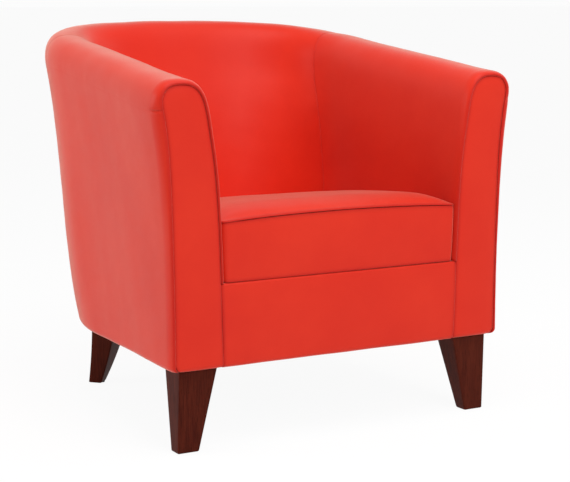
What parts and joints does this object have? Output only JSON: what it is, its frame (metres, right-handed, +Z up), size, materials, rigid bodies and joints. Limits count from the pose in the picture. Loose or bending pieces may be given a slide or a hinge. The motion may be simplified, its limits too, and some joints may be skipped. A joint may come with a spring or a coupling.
{
  "type": "tub chair",
  "caption": "Upholstered tub chair: a curved wall with a rolled rim round a fixed crowned seat, on tapered timber legs.",
  "frame": {"origin": "on the floor, at the middle of the chair's bounding box", "axes": "+X to the right seen from the front, +Y to the back, +Z up; the front looks toward -Y"},
  "size_m": [0.764, 0.79, 0.771],
  "materials": {
    "cover": "smooth satin",
    "leg_timber": "dark stained, satin lacquer",
    "frame_timber": "sawn beech and plywood",
    "foam": "open cell foam",
    "wadding": "polyester wadding",
    "webbing": "woven elastic",
    "lining_cloth": "non-woven cloth",
    "glide": "nylon",
    "steel": "zinc plated"
  },
  "bodies": {
    "root": {"front_left_leg": "leg_timber", "front_right_leg": "leg_timber", "rear_left_leg": "leg_timber", "rear_right_leg": "leg_timber", "foot_glides": "glide", "leg_bolts": "steel", "t_nuts": "steel", "front_rail": "frame_timber", "left_side_rail": "frame_timber", "right_side_rail": "frame_timber", "rear_rail": "frame_timber", "corner_blocks": "frame_timber", "left_arm_board": "frame_timber", "right_arm_board": "frame_timber", "left_arm_top_rail": "frame_timber", "right_arm_top_rail": "frame_timber", "back_top_rail": "frame_timber", "wall_uprights": "frame_timber", "left_arm_panel": "frame_timber", "right_arm_panel": "frame_timber", "seat_webbing_long": "webbing", "seat_webbing_cross": "webbing", "back_webbing": "webbing", "deck_cloth": "lining_cloth", "dust_cover": "lining_cloth", "seat_foam": "foam", "back_foam": "foam", "left_arm_foam": "foam", "right_arm_foam": "foam", "outside_wadding": "wadding", "front_wadding": "wadding", "outside_cover": "cover", "inside_back_cover": "cover", "left_inside_arm_cover": "cover", "right_inside_arm_cover": "cover", "front_rail_cover": "cover", "seat_top_cover": "cover", "seat_border": "cover", "left_arm_facing": "cover", "right_arm_facing": "cover"}
  },
  "joints": []
}
